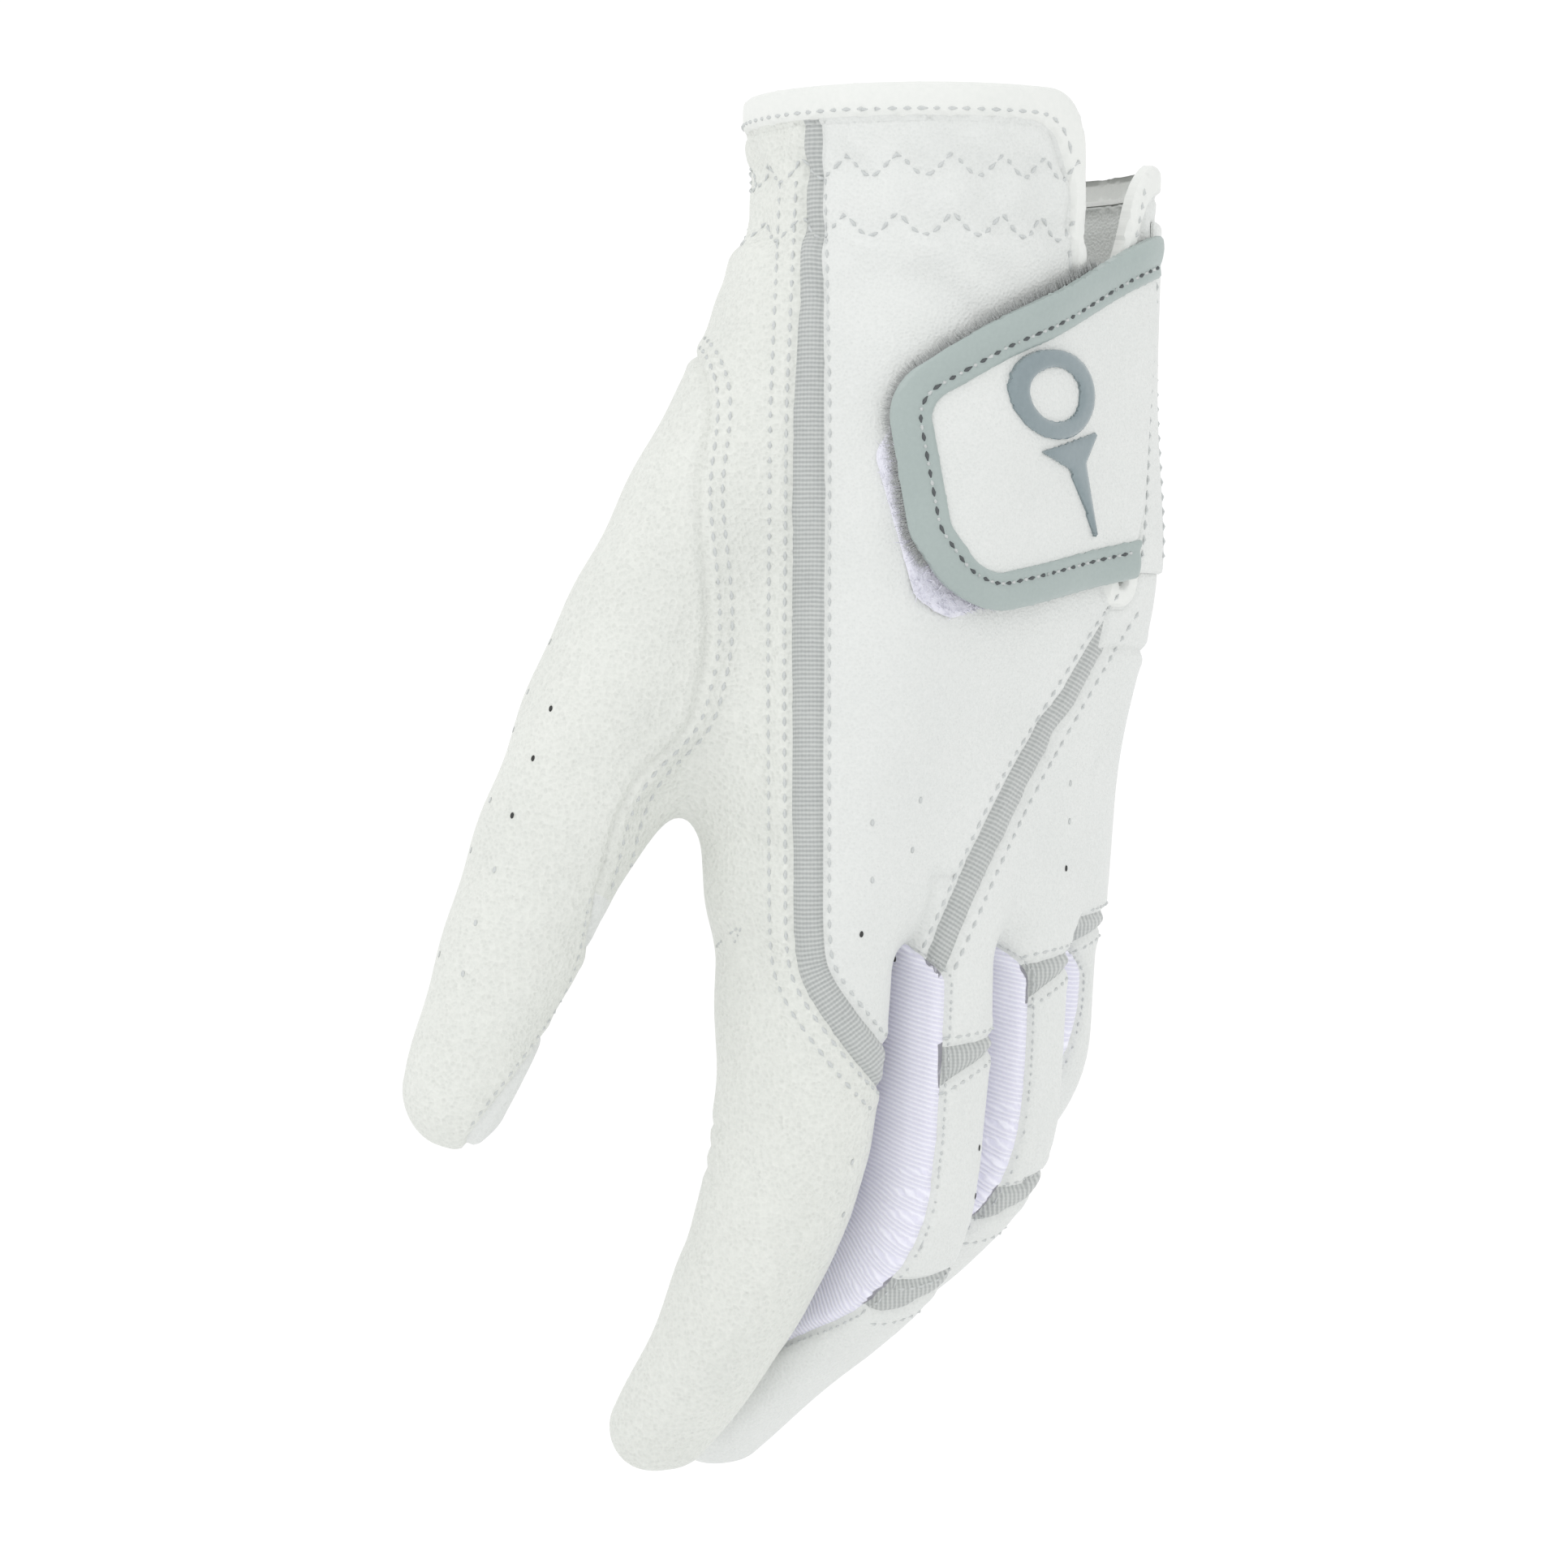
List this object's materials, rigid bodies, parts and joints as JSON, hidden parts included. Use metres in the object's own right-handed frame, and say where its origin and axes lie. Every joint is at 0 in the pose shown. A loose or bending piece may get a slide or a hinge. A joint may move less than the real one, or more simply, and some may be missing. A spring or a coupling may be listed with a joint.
{
  "type": "golf glove",
  "caption": "Left-hand golf glove shaped as worn, with leather panels, knit finger sides, grey stretch inserts and a peel-off closure tab.",
  "frame": {"origin": "centre of the wrist opening, at the height where the leather meets the rim of the cuff binding", "axes": "+Z out of the wrist opening, so the fingers point down -Z; the back of the hand and the closure tab face -Y, the palm faces +Y, and the thumb lies towards -X"},
  "size_m": [0.1124, 0.0715, 0.1955],
  "materials": {
    "leather": "fine-grained soft white synthetic leather",
    "gusset_leather": "smooth white synthetic leather",
    "white_knit": "ribbed white stretch knit, faintly lavender",
    "grey_stretch": "ribbed light grey stretch ribbon",
    "binding": "smooth folded white binding",
    "elastic": "flat white elastic",
    "loop_pile": "brushed white loop pile",
    "hook_pile": "grey moulded hooks",
    "grey_trim": "satin grey moulded edge trim",
    "emblem": "glossy raised grey emblem"
  },
  "bodies": {
    "hand": {"palm_panel": "leather", "thumb_base_panel": "leather", "back_panel": "leather", "ulnar_back_panel": "leather", "knuckle_back_panel": "leather", "long_stretch_ribbon": "grey_stretch", "diagonal_stretch_ribbon": "grey_stretch", "cuff_binding": "binding", "cuff_elastic": "elastic", "slit_binding": "binding", "loop_pad": "loop_pile", "tab_anchor": "leather", "thumb_knuckle_sleeve": "leather", "index_knuckle_sleeve": "leather", "middle_knuckle_sleeve": "leather", "ring_knuckle_sleeve": "leather", "little_knuckle_sleeve": "leather"},
    "closure_tab": {"closure_tab": "leather", "tab_trim": "grey_trim", "hook_pad": "hook_pile", "tab_emblem": "emblem"},
    "thumb_stall": {"thumb_stall": "leather", "thumb_gusset": "gusset_leather", "thumb_joint_sleeve": "leather"},
    "thumb_tip": {"thumb_tip": "leather", "thumb_tip_gusset": "gusset_leather"},
    "index_stall": {"index_palm_strip": "leather", "index_knuckle_band": "grey_stretch", "index_back_strip": "leather", "index_fourchette": "white_knit", "index_flex_sleeve": "leather"},
    "index_tip": {"index_tip_palm": "leather", "index_tip_back": "leather", "index_tip_fourchette": "white_knit"},
    "middle_stall": {"middle_palm_strip": "leather", "middle_knuckle_band": "grey_stretch", "middle_back_strip": "leather", "middle_fourchette": "white_knit", "middle_flex_sleeve": "leather", "middle_flex_band": "grey_stretch"},
    "middle_tip": {"middle_tip_palm": "leather", "middle_tip_back": "leather", "middle_tip_fourchette": "white_knit"},
    "ring_stall": {"ring_palm_strip": "leather", "ring_knuckle_band": "grey_stretch", "ring_back_strip": "leather", "ring_fourchette": "white_knit", "ring_flex_sleeve": "leather", "ring_flex_band": "grey_stretch"},
    "ring_tip": {"ring_tip_palm": "leather", "ring_tip_back": "leather", "ring_tip_fourchette": "white_knit"},
    "little_stall": {"little_palm_strip": "leather", "little_knuckle_band": "grey_stretch", "little_back_strip": "leather", "little_fourchette": "white_knit", "little_flex_sleeve": "leather"},
    "little_tip": {"little_tip_palm": "leather", "little_tip_back": "leather", "little_tip_fourchette": "white_knit"}
  },
  "joints": [
    {"name": "tab_peel", "type": "hinge", "parent": "hand", "child": "closure_tab", "pos_m": [0.018, -0.0243, -0.042], "axis": [0, -0.0727, 0.9974], "range_deg": [0, 140]},
    {"name": "thumb_knuckle_bend", "type": "hinge", "parent": "hand", "child": "thumb_stall", "pos_m": [-0.045, 0.023, -0.082], "axis": [0.7797, -0.4868, -0.3938], "range_deg": [-10, 25], "stiffness_Nm_per_rad": 0.02, "deforming": ["thumb_knuckle_sleeve"]},
    {"name": "thumb_tip_bend", "type": "hinge", "parent": "thumb_stall", "child": "thumb_tip", "pos_m": [-0.058, 0.0305, -0.117], "axis": [0.7797, -0.4868, -0.3938], "range_deg": [-10, 45], "stiffness_Nm_per_rad": 0.01, "deforming": ["thumb_joint_sleeve"]},
    {"name": "index_knuckle_bend", "type": "hinge", "parent": "hand", "child": "index_stall", "pos_m": [-0.026, 0.008, -0.118], "axis": [1, 0, 0], "range_deg": [-15, 75], "stiffness_Nm_per_rad": 0.02, "deforming": ["index_knuckle_sleeve"]},
    {"name": "index_middle_bend", "type": "hinge", "parent": "index_stall", "child": "index_tip", "pos_m": [-0.026, 0.0088, -0.149], "axis": [1, 0, 0], "range_deg": [-24, 64], "stiffness_Nm_per_rad": 0.01, "deforming": ["index_flex_sleeve"]},
    {"name": "middle_knuckle_bend", "type": "hinge", "parent": "hand", "child": "middle_stall", "pos_m": [-0.0069, 0.004, -0.118], "axis": [1, 0, 0], "range_deg": [-15, 75], "stiffness_Nm_per_rad": 0.02, "deforming": ["middle_knuckle_sleeve"]},
    {"name": "middle_middle_bend", "type": "hinge", "parent": "middle_stall", "child": "middle_tip", "pos_m": [-0.0069, 0.0023, -0.16], "axis": [1, 0, 0], "range_deg": [-48, 38], "stiffness_Nm_per_rad": 0.01, "deforming": ["middle_flex_sleeve", "middle_flex_band"]},
    {"name": "ring_knuckle_bend", "type": "hinge", "parent": "hand", "child": "ring_stall", "pos_m": [0.012, 0.005, -0.118], "axis": [1, 0, 0], "range_deg": [-15, 75], "stiffness_Nm_per_rad": 0.02, "deforming": ["ring_knuckle_sleeve"]},
    {"name": "ring_middle_bend", "type": "hinge", "parent": "ring_stall", "child": "ring_tip", "pos_m": [0.012, 0.0029, -0.149], "axis": [1, 0, 0], "range_deg": [-40, 36], "stiffness_Nm_per_rad": 0.01, "deforming": ["ring_flex_sleeve", "ring_flex_band"]},
    {"name": "little_knuckle_bend", "type": "hinge", "parent": "hand", "child": "little_stall", "pos_m": [0.0296, 0.007, -0.117], "axis": [1, 0, 0], "range_deg": [-15, 72], "stiffness_Nm_per_rad": 0.02, "deforming": ["little_knuckle_sleeve"]},
    {"name": "little_middle_bend", "type": "hinge", "parent": "little_stall", "child": "little_tip", "pos_m": [0.0296, 0.009, -0.137], "axis": [1, 0, 0], "range_deg": [-38, 42], "stiffness_Nm_per_rad": 0.01, "deforming": ["little_flex_sleeve"]}
  ]
}
